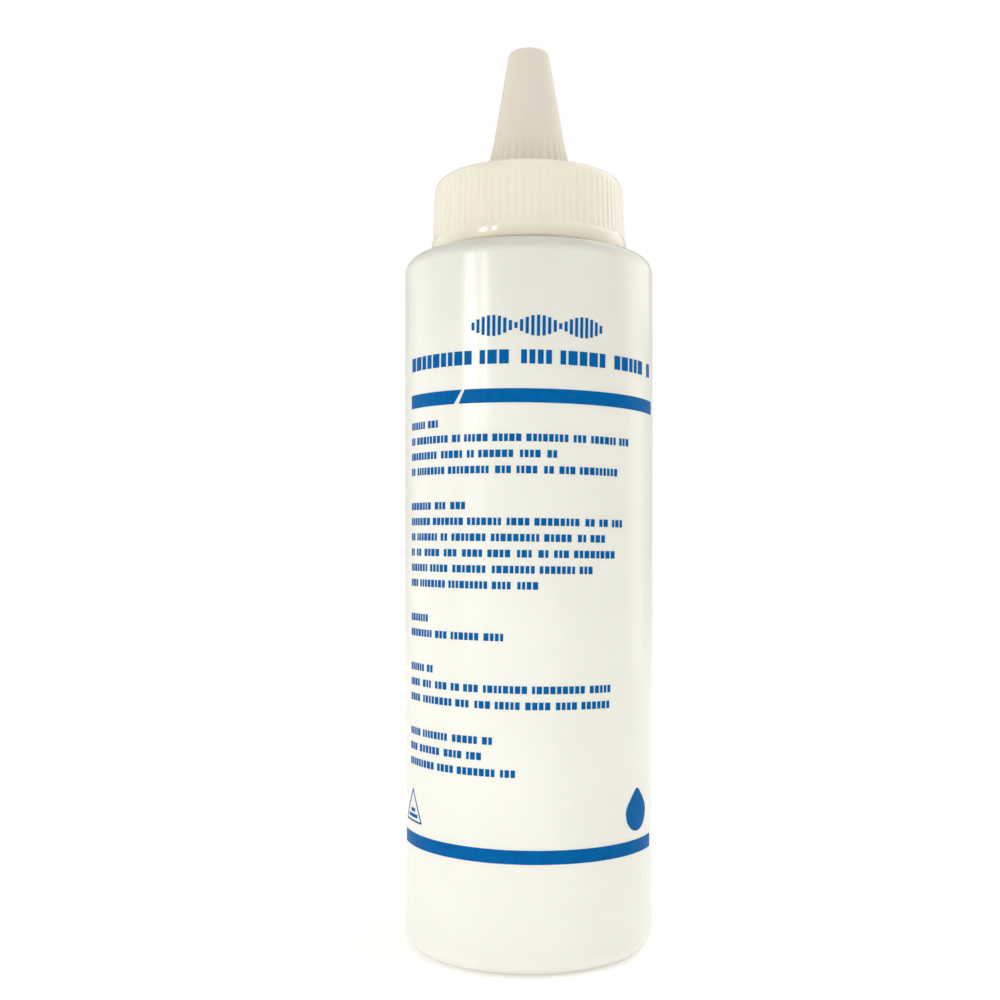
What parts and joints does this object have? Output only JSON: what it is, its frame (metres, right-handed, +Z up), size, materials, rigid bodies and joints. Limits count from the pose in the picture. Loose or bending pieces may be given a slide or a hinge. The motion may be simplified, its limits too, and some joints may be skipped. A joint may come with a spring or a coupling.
{
  "type": "ultrasound gel bottle",
  "caption": "Round squeeze bottle of ultrasound coupling gel with a ribbed screw closure and a conical twist-open nozzle.",
  "frame": {"origin": "centre of the foot ring's plane, on the bottle's axis", "axes": "+Z up the bottle's axis towards the nozzle's tip, -Y towards the printed front"},
  "size_m": [0.05, 0.05, 0.1801],
  "materials": {
    "bottle_plastic": "satin, slightly translucent",
    "coupling_gel": "clear viscous gel, glossy",
    "seal_foil": "satin",
    "gasket_foam": "matte",
    "cap_plastic": "satin",
    "seal_rubber": "matte",
    "nozzle_plastic": "satin"
  },
  "bodies": {
    "bottle": {"bottle_body": "bottle_plastic", "gel_fill": "coupling_gel", "foil_seal": "seal_foil"},
    "cap_carrier": {"cap_gasket": "gasket_foam"},
    "cap": {"screw_cap": "cap_plastic"},
    "nozzle_carrier": {"nozzle_seal_ring": "seal_rubber"},
    "nozzle": {"twist_nozzle": "nozzle_plastic"}
  },
  "joints": [
    {"name": "cap_lift", "type": "slide", "parent": "bottle", "child": "cap_carrier", "axis": [0, 0, 1], "range_m": [0, 0.0127]},
    {"name": "cap_unscrew", "type": "hinge", "parent": "cap_carrier", "child": "cap", "pos_m": [0, 0, 0.1511], "axis": [0, 0, 1], "range_deg": [0, 1080.5]},
    {"name": "nozzle_lift", "type": "slide", "parent": "cap", "child": "nozzle_carrier", "axis": [0, 0, 1], "range_m": [0, 0.003]},
    {"name": "nozzle_twist", "type": "hinge", "parent": "nozzle_carrier", "child": "nozzle", "pos_m": [0, 0, 0.1559], "axis": [0, 0, 1], "range_deg": [0, 180.5]}
  ],
  "couplings": [
    {"joint": "cap_unscrew", "follows": "cap_lift", "rad_per_m": 1484.2},
    {"joint": "nozzle_twist", "follows": "nozzle_lift", "rad_per_m": 1047.2}
  ]
}
